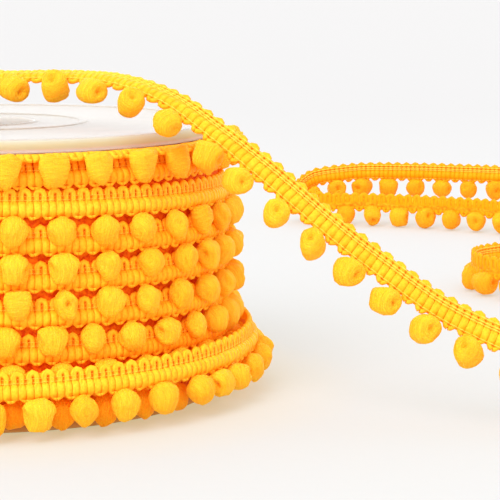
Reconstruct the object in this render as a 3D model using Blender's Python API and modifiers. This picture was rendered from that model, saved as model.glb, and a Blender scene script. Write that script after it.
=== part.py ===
"""Pompom fringe trim wound on a clear plastic reel, with its loose end laid out on the table.

Every table is in millimetres and degrees, measured from the reel's axis at table height. The finish of
each mesh scales it to metres. Angles on the reel start at the front, at -Y, and grow towards +X, the way
the trim is wound.
"""

from math import cos, pi, radians, sin

import bmesh
import bpy
import numpy as np
from mathutils import Vector

MM = 0.001
GAP = 0.3
REEL_AXIS = Vector((-59.7, -96.1, 0.0))

# Reel: two equal mouldings, each a flange with half of the hub tube, which meet at mid height.
REEL_HEIGHT = 52.7
FLANGE_RADIUS = 45.0
FLANGE_THICKNESS = 2.5
HUB_RADIUS = 20.0
HUB_WALL = 2.2
BORE_RADIUS = 9.5
RIM_CHAMFER = 0.4
TURNED_STEPS = 48

# Braid and bobbles.
BRAID_WIDTH = 5.9
BRAID_THICKNESS = 1.4
BOBBLE_PITCH = 8.5
NECK_LENGTH = 2.6
CUT_END = 1.5
DROOP = 0.4
# Rings of a bobble under its root: down, half its length along the braid, half its depth, shift outwards.
FREE_BOBBLE = ((1.9, 2.45, 2.3, 0.0), (4.5, 1.6, 1.5, 0.0))
WOUND_BOBBLE = ((2.2, 2.4, 1.5, 1.2), (5.2, 1.6, 1.1, 1.2))

# Inner turns: one turn under the top flange, four down the roll, then a turn without bobbles that the
# outer turn hides.
TURN_PITCH = 6.55
TURN_BOBBLES = 36
TURN_STEP = 360.0 / TURN_BOBBLES
ROW_ONE_ANGLE = 15.0
ROW_ONE_HEIGHT = 41.4
TURN_RADIUS = 46.8
TURN_LEAN = 13.0
FLAT_TURN_START = -480.0
FLAT_TURN_END = -262.0
DOWN_TURNS_START = -165.0
DOWN_TURNS_END = 1320.0
PLAIN_TURN_END = 1581.0
WOUND_HANG = 0.15

# The form's shoulder, over which the flat turn tips to become the first of the turns down the roll.
SHOULDER_RADIUS = 45.1
SHOULDER_HEIGHT = 47.5
SHOULDER_INNER_RADIUS = 41.6
FLAT_LEAN = 90.0
FLAT_OFFSET = -0.3

# Outer turn: low on the roll, slowly rising.
OUTER_STEP = 9.0
OUTER_START = -95.0
OUTER_BOBBLES = 27
OUTER_HEIGHT = 9.65
OUTER_RISE = 0.8
OUTER_RADIUS = 51.9
OUTER_RADIUS_BACK = 52.8
OUTER_LEAN = 10.0
OUTER_LEAN_BACK = 20.0
OUTER_EASE_START = 60.0
OUTER_EASE_END = 110.0

# Wound form under the turns, as radius and height down its outer side. Its foot swells under the outer turn.
FORM_RADIUS = 45.1
FORM_GROOVE_RADIUS = 44.4
FORM_RIDGES = 5
FORM_RIDGE_TOP = 47.0
FORM_RIDGE_DROP = 5.9
FORM_FOOT = (
    (45.1, 11.0),
    (46.4, 9.6),
    (47.4, 9.3),
    (48.2, 9.0),
    (50.8, 8.8),
    (50.9, 7.2),
    (50.0, 4.4),
    (47.0, 2.8),
)

# Loose end. First its climb round the back of the roll: angle, radius, height, lean.
CLIMB = (
    (148.4, 52.8, 11.7, 20),
    (165, 52.8, 15, 20),
    (180, 52.8, 20.5, 18),
    (196, 52.8, 27.5, 18),
    (212, 52.8, 36, 20),
    (226, 52.4, 45, 26),
    (237, 50.8, 52.8, 38),
)
# Then over the flange, down to the table and round two bends on it: x, y, z, lean. On the table the braid
# stands on its bobbles.
STAND = BRAID_WIDTH / 2 + FREE_BOBBLE[-1][0]
ROUTE = (
    (-41.5, 18, 58.6, 52),
    (-33.5, 9.5, 61.4, 64),
    (-22.5, 1, 62.3, 72),
    (-10, -5.5, 62.1, 75),
    (3.5, -12, 61.9, 75),
    (16, -19, 62.3, 75),
    (25, -27.5, 61.8, 74),
    (33.6, -36, 59, 69),
    (41.7, -43, 53.3, 57),
    (49.4, -47.5, 47.2, 43),
    (61.9, -51.5, 36.4, 38),
    (71, -53.5, 29.4, 33),
    (79.5, -55, 23.3, 32),
    (89.6, -57, 18.2, 29),
    (97.5, -58, 15, 22),
    (107, -58, 11.6, 12),
    (118, -55.5, 8.8, 4),
    (129, -50, STAND, 0),
    (139, -41, STAND, 0),
    (148, -22, STAND, 0),
    (153, 2, STAND, 0),
    (155, 30, STAND, 0),
    (152, 56, STAND, 0),
    (143, 78, STAND, 0),
    (127, 91, STAND, 0),
    (121.5, 103, STAND, 0),
    (125, 114.5, STAND, 0),
    (135, 122, STAND, 0),
    (150, 128, STAND, 0),
    (165, 139, STAND, 0),
    (172, 160, STAND, 0),
    (170, 185, STAND, 0),
    (161, 204, STAND, 0),
    (146, 218, STAND, 0),
    (131, 228.5, STAND, 0),
    (115, 236, STAND, 0),
    (103, 239, 7.7, 0),
    (96.5, 244, 9.8, 0),
    (101, 250, 13, 0),
    (113, 251, 15, 0),
    (132, 247.5, 15.5, 0),
    (150, 240, 15.5, 0),
    (168, 230, 15.5, 0),
)
SPAN_SAMPLES = 16
FLOOR_REACH = 0.6
# The share of a bobble's neck over which the braid's direction is read.
DIRECTION_STEP = 0.2

DOWN = Vector((0, 0, -1))
UP = Vector((0, 0, 1))


def clear_scene():
    for old in list(bpy.data.objects):
        bpy.data.objects.remove(old, do_unlink=True)


def principled(name, hex_color, roughness, transmission=0.0):
    """A Principled material from an sRGB colour."""
    channels = [int(hex_color[i : i + 2], 16) / 255 for i in (0, 2, 4)]
    linear = [c / 12.92 if c <= 0.04045 else ((c + 0.055) / 1.055) ** 2.4 for c in channels]
    material = bpy.data.materials.new(name)
    material.use_nodes = True
    shader = material.node_tree.nodes["Principled BSDF"]
    shader.inputs["Base Color"].default_value = (*linear, 1)
    shader.inputs["Roughness"].default_value = roughness
    shader.inputs["Metallic"].default_value = 0.0
    shader.inputs["Transmission Weight"].default_value = transmission
    material.diffuse_color = (*linear, 1)
    return material


def place(obj, material, collection, anchor):
    """Gives an object its material, collection and parent."""
    obj.data.materials.clear()
    obj.data.materials.append(material)
    collection.objects.link(obj)
    obj.parent = anchor
    return obj


def turned_mesh(name, profile):
    """A closed profile of radius and height, given down its outer side, turned about Z."""
    mesh = bpy.data.meshes.new(name)
    points = [(r * MM, 0, z * MM) for r, z in profile]
    edges = [(i, (i + 1) % len(points)) for i in range(len(points))]
    mesh.from_pydata(points, edges, [])
    obj = bpy.data.objects.new(name, mesh)
    screw = obj.modifiers.new("turned", "SCREW")
    screw.axis = "Z"
    screw.angle = 2 * pi
    screw.steps = TURNED_STEPS
    screw.render_steps = TURNED_STEPS
    screw.use_merge_vertices = True
    screw.merge_threshold = 0.00001
    screw.use_smooth_shade = False
    return obj


# ---------------------------------------------------------------- reel


def reel_half(name):
    """One flange with its rim chamfered and half of the hub tube standing on it."""
    tube_top = (REEL_HEIGHT - GAP) / 2
    bore_of_tube = HUB_RADIUS - HUB_WALL
    profile = (
        (HUB_RADIUS, tube_top),
        (HUB_RADIUS, FLANGE_THICKNESS),
        (FLANGE_RADIUS - RIM_CHAMFER, FLANGE_THICKNESS),
        (FLANGE_RADIUS, FLANGE_THICKNESS - RIM_CHAMFER),
        (FLANGE_RADIUS, RIM_CHAMFER),
        (FLANGE_RADIUS - RIM_CHAMFER, 0),
        (BORE_RADIUS, 0),
        (BORE_RADIUS, FLANGE_THICKNESS),
        (bore_of_tube, FLANGE_THICKNESS),
        (bore_of_tube, tube_top),
    )
    return turned_mesh(name, profile)


# ---------------------------------------------------------------- wound form


def form_profile():
    """The wound form: ridged where the inner layers' rows show, swollen at its foot."""
    top = REEL_HEIGHT - FLANGE_THICKNESS - GAP
    bottom = FLANGE_THICKNESS + GAP
    inner = HUB_RADIUS + GAP
    profile = [(inner, top), (SHOULDER_INNER_RADIUS, top), (SHOULDER_INNER_RADIUS, SHOULDER_HEIGHT)]
    profile.append((FORM_GROOVE_RADIUS, SHOULDER_HEIGHT))
    for ridge in range(FORM_RIDGES):
        ridge_top = FORM_RIDGE_TOP - ridge * TURN_PITCH
        profile.append((FORM_GROOVE_RADIUS, ridge_top))
        profile.append((FORM_RADIUS, ridge_top - FORM_RIDGE_DROP))
    profile.extend(FORM_FOOT)
    profile.append((inner, bottom))
    return profile


# ---------------------------------------------------------------- braid with bobbles


def around(angle, radius, height):
    """The point at an angle in degrees and a radius from the reel's axis."""
    turn = radians(angle)
    return Vector((radius * sin(turn), -radius * cos(turn), height))


def ease(value, low, high):
    """0 below low, 1 above high and a smooth step between."""
    share = min(1.0, max(0.0, (value - low) / (high - low)))
    return share * share * (3 - 2 * share)


def inner_turn_place(angle):
    """Centre and lean of the inner turns' braid at an angle counted on through all the turns."""
    if angle >= DOWN_TURNS_START:
        height = ROW_ONE_HEIGHT - TURN_PITCH * (angle - ROW_ONE_ANGLE) / 360
        return around(angle, TURN_RADIUS, height), TURN_LEAN
    tip = ease(angle, FLAT_TURN_END, DOWN_TURNS_START)
    lean = FLAT_LEAN + (TURN_LEAN - FLAT_LEAN) * tip
    first_height = ROW_ONE_HEIGHT - TURN_PITCH * (DOWN_TURNS_START - ROW_ONE_ANGLE) / 360
    stand_off = BRAID_THICKNESS / 2 + GAP
    low = radians(TURN_LEAN)
    last_offset = (SHOULDER_HEIGHT + stand_off * sin(low) - first_height) / cos(low)
    last_radius = TURN_RADIUS - stand_off * cos(low) - last_offset * sin(low)
    offset = FLAT_OFFSET + (last_offset - FLAT_OFFSET) * tip
    corner = SHOULDER_RADIUS + (last_radius - SHOULDER_RADIUS) * tip
    slope = radians(lean)
    radius = corner + stand_off * cos(slope) + offset * sin(slope)
    height = SHOULDER_HEIGHT + stand_off * sin(slope) - offset * cos(slope)
    return around(angle, radius, height), lean


def outer_turn_place(angle):
    """Centre and lean of the outer turn's braid."""
    back = ease(angle, OUTER_EASE_START, OUTER_EASE_END)
    radius = OUTER_RADIUS + (OUTER_RADIUS_BACK - OUTER_RADIUS) * back
    height = OUTER_HEIGHT + OUTER_RISE * max(0.0, radians(angle))
    lean = OUTER_LEAN + (OUTER_LEAN_BACK - OUTER_LEAN) * back
    return around(angle, radius, height), lean


def route_samples():
    """Dense points x, y, z, lean on a smooth curve through the loose end's tables."""
    climb = [(*around(angle, radius, height), lean) for angle, radius, height, lean in CLIMB]
    knots = np.array(climb + list(ROUTE), float)
    chords = np.linalg.norm(np.diff(knots[:, :3], axis=0), axis=1)
    slopes = np.diff(knots, axis=0) / chords[:, None]
    before, after = chords[:-1, None], chords[1:, None]
    inner = (slopes[:-1] * after + slopes[1:] * before) / (before + after)
    tangents = np.vstack([slopes[:1], inner, slopes[-1:]])
    points = []
    for i, chord in enumerate(chords):
        for t in np.arange(SPAN_SAMPLES) / SPAN_SAMPLES:
            start = (1 + 2 * t) * (1 - t) ** 2 * knots[i] + t * (1 - t) ** 2 * chord * tangents[i]
            end = t * t * (3 - 2 * t) * knots[i + 1] + t * t * (t - 1) * chord * tangents[i + 1]
            points.append(start + end)
    points.append(knots[-1])
    return np.array(points)


def route_path():
    """A function from length along the loose end to its centre and lean, and its whole length."""
    samples = route_samples()
    steps = np.linalg.norm(np.diff(samples[:, :3], axis=0), axis=1)
    lengths = np.concatenate([[0.0], np.cumsum(steps)])

    def path(length):
        x, y, z, lean = (np.interp(length, lengths, samples[:, column]) for column in range(4))
        return Vector((x, y, z)), lean

    return path, lengths[-1]


def braid_frame(path, at, step):
    """Centre, the directions along, down and out, and the lean of the braid at one place on its path."""
    centre, lean = path(at)
    along = (path(at + step)[0] - path(at - step)[0]).normalized()
    side = along.cross(UP).normalized()
    upright = along.cross(side)
    slope = radians(lean)
    down = (upright * cos(slope) + side * sin(slope)).normalized()
    return centre, along, down, down.cross(along)


def grow_bobble(bm, root, along, hang, rings):
    """Extrudes one bobble from a face of the braid's lower edge through its rings."""
    out = hang.cross(along).normalized()
    anchor = root.calc_center_median()
    face = root
    for down, half_along, half_out, shift in rings:
        face = bmesh.ops.extrude_discrete_faces(bm, faces=[face])["faces"][0]
        middle = face.calc_center_median()
        for vert in face.verts:
            offset = vert.co - middle
            length = half_along if offset.dot(along) > 0 else -half_along
            depth = half_out if offset.dot(out) > 0 else -half_out
            vert.co = anchor + hang * down + along * length + out * (depth + shift)
    for vert in face.verts:
        if abs(vert.co.z) < FLOOR_REACH:
            vert.co.z = 0


def braid_mesh(name, path, stations, hang_of, rings):
    """A strip of braid through its stations, with a bobble under each marked one.

    A station is its place on the path and whether a bobble's root starts there.
    """
    bm = bmesh.new()
    step = (stations[1][0] - stations[0][0]) * DIRECTION_STEP
    frames = [braid_frame(path, at, step) for at, _ in stations]
    half_width = BRAID_WIDTH / 2
    half_thickness = BRAID_THICKNESS / 2
    corners = ((-1, -1), (-1, 1), (1, 1), (1, -1))
    sections = []
    for centre, _, down, out in frames:
        section = [centre + down * half_width * d + out * half_thickness * o for d, o in corners]
        sections.append([bm.verts.new(point) for point in section])
    roots = []
    for i, (near, far) in enumerate(zip(sections, sections[1:])):
        for side in range(4):
            other = (side + 1) % 4
            face = bm.faces.new((near[side], near[other], far[other], far[side]))
            if side == 2 and stations[i][1]:
                along = (frames[i + 1][0] - frames[i][0]).normalized()
                down = (frames[i + 1][2] + frames[i][2]).normalized()
                roots.append((face, along, down))
    bm.faces.new(reversed(sections[0]))
    bm.faces.new(sections[-1])
    bmesh.ops.recalc_face_normals(bm, faces=bm.faces)
    for face, along, down in roots:
        grow_bobble(bm, face, along, hang_of(face.calc_center_median(), down), rings)
    bmesh.ops.scale(bm, vec=(MM, MM, MM), verts=bm.verts)
    mesh = bpy.data.meshes.new(name)
    bm.to_mesh(mesh)
    bm.free()
    return bpy.data.objects.new(name, mesh)


def bobble_stations(start, count, pitch, neck):
    """Stations for a run of bobbles: where each root starts and where it ends."""
    stations = []
    for i in range(count):
        root = start + (i + 0.5) * pitch - neck / 2
        stations.append((root, True))
        stations.append((root + neck, False))
    return stations


def wound_hang(point, _down):
    """A bobble on the roll hangs down and slightly outwards over the next row."""
    outward = Vector((point.x, point.y, 0)).normalized()
    return (DOWN + outward * WOUND_HANG).normalized()


def free_hang(_point, down):
    """A bobble on the loose end follows its braid and droops a little."""
    return (down + DOWN * DROOP).normalized()


def inner_turns():
    neck = NECK_LENGTH / BOBBLE_PITCH * TURN_STEP
    count = round((DOWN_TURNS_END - FLAT_TURN_START) / TURN_STEP)
    stations = bobble_stations(FLAT_TURN_START, count, TURN_STEP, neck)
    plain = np.arange(DOWN_TURNS_END, PLAIN_TURN_END, TURN_STEP)
    stations.extend((float(angle), False) for angle in plain)
    return braid_mesh("trim_inner_turns", inner_turn_place, stations, wound_hang, WOUND_BOBBLE)


def outer_turn():
    neck = NECK_LENGTH / BOBBLE_PITCH * OUTER_STEP
    end = OUTER_START + OUTER_BOBBLES * OUTER_STEP
    stations = [(OUTER_START, False)]
    stations += bobble_stations(OUTER_START, OUTER_BOBBLES, OUTER_STEP, neck)
    stations.append((end, False))
    return braid_mesh("trim_outer_turn", outer_turn_place, stations, wound_hang, WOUND_BOBBLE)


def loose_end():
    path, length = route_path()
    count = int(length // BOBBLE_PITCH)
    start = GAP
    stations = [(start, False)]
    stations += bobble_stations(start, count, BOBBLE_PITCH, NECK_LENGTH)
    stations.append((start + count * BOBBLE_PITCH - CUT_END, False))
    return braid_mesh("trim_loose_end", path, stations, free_hang, FREE_BOBBLE)


# ---------------------------------------------------------------- the whole


def build():
    clear_scene()
    collection = bpy.data.collections.new("pompom_trim_on_reel")
    bpy.context.scene.collection.children.link(collection)
    anchor = bpy.data.objects.new("reel_axis", None)
    anchor.location = REEL_AXIS * MM
    collection.objects.link(anchor)

    plastic = principled("clear_plastic", "ECE6DC", 0.08, 0.9)
    yarn = principled("golden_yarn", "F9C62E", 0.8)
    deep_yarn = principled("shaded_yarn", "F2A21C", 0.85)

    place(reel_half("reel_bottom_half"), plastic, collection, anchor)
    top_half = place(reel_half("reel_top_half"), plastic, collection, anchor)
    top_half.location = (0, 0, REEL_HEIGHT * MM)
    top_half.rotation_euler = (pi, 0, 0)
    place(turned_mesh("trim_wound_form", form_profile()), deep_yarn, collection, anchor)
    place(inner_turns(), yarn, collection, anchor)
    place(outer_turn(), yarn, collection, anchor)
    place(loose_end(), yarn, collection, anchor)


build()
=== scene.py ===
"""Pompom fringe trim wound on a clear reel, finished in yarn, looped braid and moulded plastic.

Lengths in the tables are millimetres and degrees, measured from the reel's axis at table height.
Angles on the reel start at the front, at -Y, and grow towards +X, the way the trim is wound. A
place on the wound trim is such an angle, and one on the loose end is a length along it.
"""

import math

import bmesh
import bpy
import numpy as np
from mathutils import Matrix, Vector


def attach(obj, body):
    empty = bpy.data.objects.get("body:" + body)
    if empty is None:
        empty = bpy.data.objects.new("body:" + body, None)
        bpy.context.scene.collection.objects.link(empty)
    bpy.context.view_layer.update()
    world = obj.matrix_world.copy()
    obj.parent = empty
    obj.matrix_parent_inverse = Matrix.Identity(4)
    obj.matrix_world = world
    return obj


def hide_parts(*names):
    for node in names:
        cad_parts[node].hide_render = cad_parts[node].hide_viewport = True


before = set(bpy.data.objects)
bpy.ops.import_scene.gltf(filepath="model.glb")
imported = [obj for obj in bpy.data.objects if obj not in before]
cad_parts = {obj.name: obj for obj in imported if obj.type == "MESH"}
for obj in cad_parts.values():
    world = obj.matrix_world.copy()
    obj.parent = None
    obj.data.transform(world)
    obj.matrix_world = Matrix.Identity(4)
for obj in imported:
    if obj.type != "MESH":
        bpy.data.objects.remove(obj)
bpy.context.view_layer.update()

MM = 0.001
REEL_AXIS = np.array([-59.7, -96.1, 0.0])

# Reel.
REEL_HEIGHT = 52.7
FLANGE_RADIUS = 45.0
FLANGE_THICKNESS = 2.5
HUB_RADIUS = 20.0
HUB_WALL = 2.2
BORE_RADIUS = 9.5

# Braid: the pitch of its loops, three to a bobble.
LOOP_PITCH = 2.84
LOOPS_PER_BOBBLE = 3
BOBBLE_PITCH = 8.5

# Inner turns: one lies flat under the top flange, and the others go down from it in rows, the last
# ones behind the outer turn.
TURN_PITCH = 6.55
TURN_STEP = 10.0
ROW_ONE_ANGLE = 15.0
ROW_ONE_HEIGHT = 41.4
TURN_RADIUS = 46.8
TURN_LEAN = 13.0
FLAT_TURN_START = -480.0
FLAT_TURN_END = -262.0
DOWN_TURNS_START = -165.0
LEVEL_TURN_START = 1815.0
LAST_TURN_EASE = 1920.0
LAST_TURN_END = 2064.7
SHOULDER_RADIUS = 45.1
SHOULDER_HEIGHT = 48.2
FLAT_LEAN = 90.0
FLAT_OFFSET = -0.3
STAND_OFF = 1.0

# The earlier turn that shows between the flat turn's teeth.
BODY_TURN_RADIUS = 45.6
BODY_TURN_HEIGHT = 46.6
BODY_TURN_LEAN = 20.0

# Outer turn.
OUTER_STEP = 9.0
OUTER_START = -95.0
OUTER_BOBBLES = 27
OUTER_HEIGHT = 9.65
OUTER_RISE = 0.8
OUTER_RADIUS = 51.9
OUTER_RADIUS_BACK = 52.8
OUTER_LEAN = 10.0
OUTER_LEAN_BACK = 20.0
OUTER_EASE = (60.0, 110.0)

# Loose end: its climb as angle, radius, height, lean; then its route as x, y, z, lean.
STAND = 7.45
CLIMB = (
    (148.4, 52.8, 11.7, 20), (165, 52.8, 15, 20), (180, 52.8, 20.5, 18), (196, 52.8, 27.5, 18),
    (212, 52.8, 36, 20), (226, 52.4, 45, 26), (237, 50.8, 52.8, 38),
)
ROUTE = (
    (-41.5, 18, 58.6, 52), (-33.5, 9.5, 61.4, 64), (-22.5, 1, 62.3, 72), (-10, -5.5, 62.1, 75),
    (3.5, -12, 61.9, 75), (16, -19, 62.3, 75), (25, -27.5, 61.8, 74), (33.6, -36, 59, 69),
    (41.7, -43, 53.3, 57), (49.4, -47.5, 47.2, 43), (61.9, -51.5, 36.4, 38),
    (71, -53.5, 29.4, 33), (79.5, -55, 23.3, 32), (89.6, -57, 18.2, 29), (97.5, -58, 15, 22),
    (107, -58, 11.6, 12), (118, -55.5, 8.8, 4), (129, -50, STAND, 0), (139, -41, STAND, 0),
    (148, -22, STAND, 0), (153, 2, STAND, 0), (155, 30, STAND, 0), (152, 56, STAND, 0),
    (143, 78, STAND, 0), (127, 91, STAND, 0), (121.5, 103, STAND, 0), (125, 114.5, STAND, 0),
    (135, 122, STAND, 0), (150, 128, STAND, 0), (165, 139, STAND, 0), (172, 160, STAND, 0),
    (170, 185, STAND, 0), (161, 204, STAND, 0), (146, 218, STAND, 0), (131, 228.5, STAND, 0),
    (115, 236, STAND, 0), (103, 239, 7.7, 0), (96.5, 244, 9.8, 0), (101, 250, 13, 0),
    (113, 251, 15, 0), (132, 247.5, 15.5, 0), (150, 240, 15.5, 0), (168, 230, 15.5, 0),
)
SPAN_SAMPLES = 16

# How far bobbles stray along the trim from an even pitch: place on the path, stray.
WOUND_STRAY = (
    (-480, 0), (-360, -1), (-331, -0.7), (-321, 0.7), (-310, 1.1), (-280, 0), (15, 0.7),
    (366, 0.6), (378, 1.3), (389, 1.8), (400, 3.2), (410, 3.8), (460, 0.5), (720, 1.2),
    (738, 1.5), (749, 2.2), (760, 1.4), (770, 3.2), (780, 3.6), (830, 0.3), (1000, 0),
    (1086, -1.7), (1098, -1.7), (1109, -2.9), (1130, -2.4), (1200, -3.5), (1420, 0),
    (1446, -0.1), (1469, 1.2), (1490, 1.7), (1540, 0),
)
OUTER_STRAY = ((0, 0.8), (36, 0.3), (47, 2.6), (60, -2.4), (75, 0))
LOOSE_STRAY = (
    (150, -2.6), (166, -2.3), (174, -1.4), (183, 0.2), (191, 1.4), (200, 2.1), (208, 3.4),
    (217, 1.8), (225, 2.3), (234, 2.0), (242, 1.3), (251, 0.9), (268, 0.5), (300, 0),
)


# ---- places on the trim

# How far each way a path is felt for its direction, in degrees on the reel and in millimetres on
# the loose end.
REEL_STEP = 1.0
LOOSE_STEP = 0.6


def around(angle, radius, height):
    """Points at angles on the reel."""
    turn = np.radians(angle)
    return np.stack([radius * np.sin(turn), -radius * np.cos(turn), height + 0 * turn], axis=-1)


def ease(value, low, high):
    """A share that rises smoothly from 0 at low to 1 at high."""
    share = np.clip((value - low) / (high - low), 0, 1)
    return share * share * (3 - 2 * share)


def row_height(angle):
    """How high the rows' braid is, one pitch lower with each turn."""
    return ROW_ONE_HEIGHT - TURN_PITCH * (angle - ROW_ONE_ANGLE) / 360


def inner_turn_place(angle):
    """Centres and leans of the inner turns' braid, at angles counted on through all the turns.

    It lies flat, tips over the roll's shoulder, goes down in rows and ends where the outer turn is.
    """
    tip = ease(angle, FLAT_TURN_END, DOWN_TURNS_START)
    lean = FLAT_LEAN + (TURN_LEAN - FLAT_LEAN) * tip
    low = math.radians(TURN_LEAN)
    drop = SHOULDER_HEIGHT + STAND_OFF * math.sin(low) - row_height(DOWN_TURNS_START)
    last_offset = drop / math.cos(low)
    last_radius = TURN_RADIUS - STAND_OFF * math.cos(low) - last_offset * math.sin(low)
    offset = FLAT_OFFSET + (last_offset - FLAT_OFFSET) * tip
    corner = SHOULDER_RADIUS + (last_radius - SHOULDER_RADIUS) * tip
    slope = np.radians(lean)
    flat_radius = corner + STAND_OFF * np.cos(slope) + offset * np.sin(slope)
    flat_height = SHOULDER_HEIGHT + STAND_OFF * np.sin(slope) - offset * np.cos(slope)
    last = ease(angle, LAST_TURN_EASE, LAST_TURN_END)
    radius = TURN_RADIUS + (OUTER_RADIUS - TURN_RADIUS) * last
    height = row_height(np.minimum(angle, LEVEL_TURN_START))
    height = height + (OUTER_HEIGHT - row_height(LEVEL_TURN_START)) * last
    wound = angle >= DOWN_TURNS_START
    radius = np.where(wound, radius, flat_radius)
    return around(angle, radius, np.where(wound, height, flat_height)), lean


def outer_turn_place(angle):
    """Centres and leans of the outer turn's braid, which leans out and climbs towards the back."""
    back = ease(angle, *OUTER_EASE)
    radius = OUTER_RADIUS + (OUTER_RADIUS_BACK - OUTER_RADIUS) * back
    height = OUTER_HEIGHT + OUTER_RISE * np.maximum(0, np.radians(angle))
    return around(angle, radius, height), OUTER_LEAN + (OUTER_LEAN_BACK - OUTER_LEAN) * back


def body_turn_place(angle):
    """Centres and leans of an earlier turn's braid, which shows between the flat turn's teeth."""
    lean = np.full(np.shape(angle), BODY_TURN_LEAN)
    return around(angle, BODY_TURN_RADIUS, BODY_TURN_HEIGHT), lean


def loose_end_samples():
    """Dense points x, y, z, lean on a smooth curve through the loose end's tables."""
    climb = [(*around(angle, radius, height), lean) for angle, radius, height, lean in CLIMB]
    knots = np.array(climb + list(ROUTE), float)
    chords = np.linalg.norm(np.diff(knots[:, :3], axis=0), axis=1)
    slopes = np.diff(knots, axis=0) / chords[:, None]
    before, after = chords[:-1, None], chords[1:, None]
    inner = (slopes[:-1] * after + slopes[1:] * before) / (before + after)
    tangents = np.vstack([slopes[:1], inner, slopes[-1:]])
    points = []
    for i, chord in enumerate(chords):
        for t in np.arange(SPAN_SAMPLES) / SPAN_SAMPLES:
            start = (1 + 2 * t) * (1 - t) ** 2 * knots[i] + t * (1 - t) ** 2 * chord * tangents[i]
            end = t * t * (3 - 2 * t) * knots[i + 1] + t * t * (t - 1) * chord * tangents[i + 1]
            points.append(start + end)
    points.append(knots[-1])
    return np.array(points)


def lengths_along(points):
    """The length from the first of a row of points to each one."""
    return np.concatenate([[0.0], np.cumsum(np.linalg.norm(np.diff(points, axis=0), axis=1))])


LOOSE_SAMPLES = loose_end_samples()
LOOSE_LENGTHS = lengths_along(LOOSE_SAMPLES[:, :3])


def loose_end_place(length):
    """Centres and leans of the loose end's braid at lengths along it."""
    x, y, z, lean = (np.interp(length, LOOSE_LENGTHS, column) for column in LOOSE_SAMPLES.T)
    return np.stack([x, y, z], axis=-1), lean


def unit(vectors):
    return vectors / np.linalg.norm(vectors, axis=-1, keepdims=True)


def braid_frames(place, at):
    """Centres and the directions along, down and out of the braid at places on its path."""
    step = LOOSE_STEP if place is loose_end_place else REEL_STEP
    centre, lean = place(at)
    along = unit(place(at + step)[0] - place(at - step)[0])
    side = unit(np.cross(along, [0, 0, 1]))
    upright = np.cross(along, side)
    slope = np.radians(lean)[:, None]
    down = unit(upright * np.cos(slope) + side * np.sin(slope))
    return centre, along, down, np.cross(down, along)


def middles(start, end, count):
    """The middles of equal shares of the way from start to end."""
    return start + (np.arange(count) + 0.5) * (end - start) / count


def strayed(at, table):
    """Places moved along the trim by a table of strays."""
    places, strays = zip(*table)
    return at + np.interp(at, places, strays)


# ---- meshes


def put_in_scene(name, mesh):
    obj = bpy.data.objects.new(name, mesh)
    bpy.context.scene.collection.objects.link(obj)
    return obj


def closed_piece(name, vertices, faces, finish):
    """A smooth closed piece, its faces outwards, from millimetre points about the reel's axis."""
    mesh = bpy.data.meshes.new(name)
    mesh.from_pydata(((np.asarray(vertices) + REEL_AXIS) * MM).tolist(), [], faces)
    mesh.materials.append(finish)
    shell = bmesh.new()
    shell.from_mesh(mesh)
    bmesh.ops.recalc_face_normals(shell, faces=shell.faces)
    shell.to_mesh(mesh)
    shell.free()
    mesh.shade_smooth()
    return put_in_scene(name, mesh)


def grid_faces(rings, sides, joined=False):
    """Quads between closed rings of points; joined also joins the last ring to the first."""
    faces = []
    for i in range(rings if joined else rings - 1):
        a, b = i * sides, (i + 1) % rings * sides
        for j in range(sides):
            k = (j + 1) % sides
            faces.append((a + j, b + j, b + k, a + k))
    return faces


def tube_faces(rings, sides):
    """Quads between closed rings of points, with a cap at each end."""
    last = (rings - 1) * sides
    caps = [tuple(range(sides)), tuple(reversed(range(last, last + sides)))]
    return grid_faces(rings, sides) + caps


def strand(points, widths, depths, ring, thread, groove):
    """A closed tube of yarn along points in the cell's plane: vertices, faces, UVs and values.

    The ring is its section at each point, across and above. Thread is 1 on a chain thread, and
    groove says how deep each point of the section lies, which gives the yarn its painted shade.
    """
    tangent = unit(np.gradient(points, axis=0))
    side = unit(np.cross(tangent, [0, 0, 1.0]))
    rise = np.cross(side, tangent)
    across, above = widths[:, None] * ring[0], depths[:, None] * ring[1]
    reach = side[:, None] * across[..., None] + rise[:, None] * above[..., None]
    vertices = (points[:, None] + reach).reshape(-1, 3)
    count, sides = across.shape
    turn = np.arange(sides) / sides
    uvs = np.stack(np.broadcast_arrays(lengths_along(points)[:, None], turn[None]), axis=-1)
    values = {"thread": np.full(len(vertices), thread), "groove": groove.ravel()}
    return vertices, tube_faces(count, sides), uvs.reshape(-1, 2), values


def gathered(shapes):
    """Several shapes as one."""
    faces, count = [], 0
    for vertices, shape_faces, _, _ in shapes:
        faces += [tuple(i + count for i in face) for face in shape_faces]
        count += len(vertices)
    vertices, _, uvs, values = zip(*shapes)
    joined = {name: np.concatenate([value[name] for value in values]) for name in values[0]}
    return np.concatenate(vertices), faces, np.concatenate(uvs), joined


# ---- loops of the braid

# One loop of the gimp yarn down its right leg: place along, height, width, depth, rise, squareness.
# Under its scallop come the satin bars, which bulge as one smooth cord, and the low loop.
LEG = (
    (0.70, 1.20, 0.66, 0.46, 0.10, 0.2),
    (0.70, 0.28, 0.65, 0.44, 0.00, 0.3),
    (0.71, 0.06, 0.71, 0.50, 0.20, 1.0),
    (0.71, -0.36, 0.765, 0.60, 0.42, 1.0),
    (0.71, -0.90, 0.77, 0.62, 0.48, 1.0),
    (0.71, -1.45, 0.77, 0.58, 0.38, 1.0),
    (0.71, -1.92, 0.74, 0.50, 0.10, 0.9),
)
# The scallop: the angles of its arch, its centre, and its width, depth, rise and squareness.
ARCH_ANGLES = (180, 135, 90, 45, 0)
SCALLOP_CENTRE = 1.64
SCALLOP_YARN = (0.66, 0.50, 0.1, 0.0)
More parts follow.
